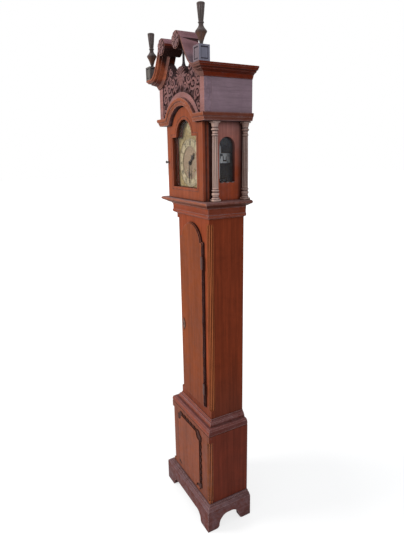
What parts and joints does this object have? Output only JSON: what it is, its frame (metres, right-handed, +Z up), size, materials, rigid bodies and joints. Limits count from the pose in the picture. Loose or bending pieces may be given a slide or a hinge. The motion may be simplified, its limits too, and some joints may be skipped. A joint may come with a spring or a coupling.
{
  "type": "grandmother clock",
  "caption": "Small longcase clock: swan neck hood with arched door and columns, narrow trunk with tombstone door, panelled base on bracket feet, weight driven movement",
  "frame": {"origin": "centre of the footprint's bounding box, on the floor", "axes": "+Z up, the front faces -Y, +X to the right of someone who looks at the dial"},
  "size_m": [0.3988, 0.2194, 1.8303],
  "materials": {
    "mahogany": "old varnish over orange-brown mahogany",
    "dark_mahogany": "old varnish over dark mahogany",
    "carved_mahogany": "dull carved mahogany with darker recesses",
    "greyed_wood": "turned wood greyed with age",
    "pine": "bare pine",
    "brass": "lacquered brass",
    "silvered_brass": "silvered brass",
    "steel": "cut steel",
    "blued_steel": "dark blued steel",
    "gut_line": "twisted gut",
    "glass": "thin old window glass"
  },
  "bodies": {
    "case": {"plinth_with_bracket_feet": "dark_mahogany", "base_front": "mahogany", "base_side_right": "dark_mahogany", "base_side_left": "dark_mahogany", "base_panel": "mahogany", "base_floor": "pine", "waist_moulding": "dark_mahogany", "trunk_front": "mahogany", "trunk_side_right": "dark_mahogany", "trunk_side_left": "dark_mahogany", "trunk_column_right": "mahogany", "trunk_column_left": "mahogany", "backboard": "pine", "throat_moulding": "mahogany", "seat_board": "pine", "movement_frame": "brass", "dial_plate": "brass", "chapter_ring": "silvered_brass", "going_line": "gut_line", "strike_line": "gut_line"},
    "trunk_door": {"trunk_door": "mahogany", "trunk_hinge_lower": "brass", "trunk_hinge_upper": "brass", "trunk_escutcheon": "blued_steel"},
    "hood": {"hood_base_moulding": "mahogany", "hood_side_right": "mahogany", "hood_side_left": "mahogany", "side_glass_right": "glass", "side_glass_left": "glass", "dial_mask": "mahogany", "architrave": "mahogany", "tympanum": "carved_mahogany", "frieze_right": "dark_mahogany", "frieze_left": "dark_mahogany", "cornice_right": "mahogany", "cornice_left": "mahogany", "roof_board": "pine", "column_front_right": "greyed_wood", "column_rear_right": "greyed_wood", "column_front_left": "greyed_wood", "column_rear_left": "greyed_wood", "rosette_right": "carved_mahogany", "rosette_left": "carved_mahogany", "finial_block_right": "greyed_wood", "finial_block_left": "greyed_wood", "finial_right": "greyed_wood", "finial_left": "greyed_wood", "finial_centre": "greyed_wood"},
    "hood_door": {"hood_door": "mahogany", "hood_door_glass": "glass", "hood_door_knob": "blued_steel"},
    "minute_hand": {"minute_hand": "blued_steel"},
    "hour_hand": {"hour_hand": "blued_steel"},
    "escape_wheel": {"escape_wheel": "brass"},
    "anchor": {"anchor": "steel"},
    "pendulum": {"pendulum": "brass"},
    "going_barrel": {"going_barrel": "brass"},
    "strike_barrel": {"strike_barrel": "brass"},
    "going_weight": {"going_weight": "brass"},
    "strike_weight": {"strike_weight": "brass"}
  },
  "joints": [
    {"name": "hood_slide", "type": "slide", "parent": "case", "child": "hood", "axis": [0, -1, 0], "range_m": [0, 0.2]},
    {"name": "hood_door_hinge", "type": "hinge", "parent": "hood", "child": "hood_door", "pos_m": [0.131, -0.05885, 1.39], "axis": [0, 0, 1], "range_deg": [0, 100]},
    {"name": "trunk_door_hinge", "type": "hinge", "parent": "case", "child": "trunk_door", "pos_m": [0.0873, -0.04195, 0.83], "axis": [0, 0, 1], "range_deg": [0, 110]},
    {"name": "minute_hand_turn", "type": "hinge", "parent": "case", "child": "minute_hand", "pos_m": [0, -0.03735, 1.388], "axis": [0, 1, 0], "continuous": true},
    {"name": "hour_hand_turn", "type": "hinge", "parent": "case", "child": "hour_hand", "pos_m": [0, -0.03735, 1.388], "axis": [0, 1, 0], "continuous": true},
    {"name": "escape_wheel_turn", "type": "hinge", "parent": "case", "child": "escape_wheel", "pos_m": [0, 0.02265, 1.44], "axis": [0, 1, 0], "continuous": true},
    {"name": "anchor_rock", "type": "hinge", "parent": "case", "child": "anchor", "pos_m": [0, 0.02265, 1.461], "axis": [0, 1, 0], "range_deg": [-2.5, 2.5]},
    {"name": "pendulum_swing", "type": "hinge", "parent": "case", "child": "pendulum", "pos_m": [0, 0.07365, 1.461], "axis": [0, 1, 0], "range_deg": [-2.5, 2.5]},
    {"name": "going_weight_travel", "type": "slide", "parent": "case", "child": "going_weight", "axis": [0, 0, 1], "range_m": [0, 0.5], "deforming": ["going_line"]},
    {"name": "strike_weight_travel", "type": "slide", "parent": "case", "child": "strike_weight", "axis": [0, 0, 1], "range_m": [0, 0.5], "deforming": ["strike_line"]},
    {"name": "going_barrel_turn", "type": "hinge", "parent": "case", "child": "going_barrel", "pos_m": [0.028, 0.01465, 1.362], "axis": [0, 1, 0], "range_deg": [-1493.08, 0]},
    {"name": "strike_barrel_turn", "type": "hinge", "parent": "case", "child": "strike_barrel", "pos_m": [-0.028, 0.01465, 1.362], "axis": [0, 1, 0], "range_deg": [0, 1493.08]}
  ],
  "couplings": [
    {"joint": "hour_hand_turn", "follows": "minute_hand_turn", "ratio": 0.083333},
    {"joint": "anchor_rock", "follows": "pendulum_swing", "ratio": 1},
    {"joint": "going_barrel_turn", "follows": "going_weight_travel", "rad_per_m": -52.083},
    {"joint": "strike_barrel_turn", "follows": "strike_weight_travel", "rad_per_m": 52.083}
  ]
}
